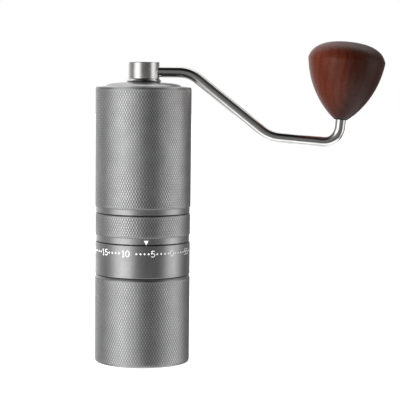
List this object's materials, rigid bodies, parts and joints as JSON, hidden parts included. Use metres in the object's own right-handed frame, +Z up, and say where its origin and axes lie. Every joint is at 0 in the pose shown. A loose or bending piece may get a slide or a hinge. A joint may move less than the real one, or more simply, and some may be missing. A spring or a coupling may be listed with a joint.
{
  "type": "hand crank coffee grinder",
  "caption": "Hand coffee grinder: knurled metal body, turning adjustment ring over a numbered ring, pull-off catch cup, lift-off lid with bent crank and wooden knob.",
  "frame": {"origin": "on the grinder's axis, at the foot of the catch cup", "axes": "+Z up along the grinder's axis, crank along +X, pointer on the -Y side"},
  "size_m": [0.1596, 0.053, 0.1787],
  "materials": {
    "anodised": "grey anodised, diamond knurled",
    "anodised_plain": "grey anodised, fine turned",
    "dark_anodised": "dark anodised",
    "cast_alloy": "bead blasted",
    "polished_steel": "polished",
    "bearing_steel": "ground",
    "burr_steel": "hardened, machined",
    "spring_steel": "blackened",
    "turned_steel": "turned",
    "brass": "machined",
    "walnut": "turned and oiled",
    "rubber": "moulded",
    "black_plastic": "plain",
    "print": "printed"
  },
  "bodies": {
    "body": {"inner_sleeve": "dark_anodised", "neck_seal": "rubber", "number_ring": "anodised_plain", "lock_ring": "dark_anodised", "magnets": "polished_steel", "detent_ring": "spring_steel", "glide_ring": "black_plastic", "upper_body": "anodised", "upper_spider": "cast_alloy", "upper_spider_clip": "spring_steel", "lower_spider": "cast_alloy", "lower_spider_screws": "spring_steel", "upper_outer_race": "bearing_steel", "lower_outer_race": "bearing_steel"},
    "cup": {"catch_cup": "anodised", "cup_ring": "turned_steel"},
    "adjuster": {"adjust_ring": "anodised", "detent_balls": "bearing_steel", "detent_springs": "spring_steel"},
    "carrier": {"burr_carrier": "cast_alloy", "outer_burr": "burr_steel", "burr_screws": "spring_steel", "carrier_keys": "brass", "key_screws": "spring_steel"},
    "shaft": {"drive_shaft": "turned_steel", "shaft_clip": "spring_steel", "upper_inner_race": "bearing_steel", "lower_inner_race": "bearing_steel", "preload_spring": "spring_steel", "inner_burr": "burr_steel", "burr_washer": "turned_steel", "burr_nut": "turned_steel"},
    "upper_cage": {"upper_cage": "brass", "upper_balls": "bearing_steel"},
    "lower_cage": {"lower_cage": "brass", "lower_balls": "bearing_steel"},
    "lid": {"lid": "anodised_plain", "lid_bush": "brass", "lid_seal": "rubber", "hub_washer": "black_plastic"},
    "crank": {"crank_hub": "polished_steel", "hub_clip": "spring_steel", "hub_grub_screw": "spring_steel", "crank_arm": "polished_steel", "knob_washer": "black_plastic", "knob_clip": "spring_steel"},
    "knob": {"knob": "walnut", "knob_bush": "brass"}
  },
  "joints": [
    {"name": "adjust_turn", "type": "hinge", "parent": "body", "child": "adjuster", "pos_m": [0, 0, 0.0751], "axis": [0, 0, -1], "range_deg": [-36, 684]},
    {"name": "burr_lift", "type": "slide", "parent": "body", "child": "carrier", "axis": [0, 0, 1], "range_m": [-0.0001, 0.00183]},
    {"name": "lid_lift", "type": "slide", "parent": "body", "child": "lid", "axis": [0, 0, 1], "range_m": [0, 0.04]},
    {"name": "crank_turn", "type": "hinge", "parent": "lid", "child": "crank", "pos_m": [0, 0, 0.1609], "axis": [0, 0, -1], "continuous": true},
    {"name": "knob_spin", "type": "hinge", "parent": "crank", "child": "knob", "pos_m": [0.10904, 0, 0.13606], "axis": [0.0872, 0, 0.9962], "continuous": true},
    {"name": "shaft_turn", "type": "hinge", "parent": "body", "child": "shaft", "pos_m": [0, 0, 0.1], "axis": [0, 0, -1], "continuous": true},
    {"name": "upper_cage_turn", "type": "hinge", "parent": "body", "child": "upper_cage", "pos_m": [0, 0, 0.1295], "axis": [0, 0, -1], "continuous": true},
    {"name": "lower_cage_turn", "type": "hinge", "parent": "body", "child": "lower_cage", "pos_m": [0, 0, 0.0865], "axis": [0, 0, -1], "continuous": true},
    {"name": "cup_pull", "type": "slide", "parent": "body", "child": "cup", "axis": [0, 0, -1], "range_m": [0, 0.04]}
  ],
  "couplings": [
    {"joint": "burr_lift", "follows": "adjust_turn", "m_per_rad": 0.00015279},
    {"joint": "shaft_turn", "follows": "crank_turn", "ratio": 1},
    {"joint": "upper_cage_turn", "follows": "crank_turn", "ratio": 0.40417},
    {"joint": "lower_cage_turn", "follows": "crank_turn", "ratio": 0.40417}
  ]
}
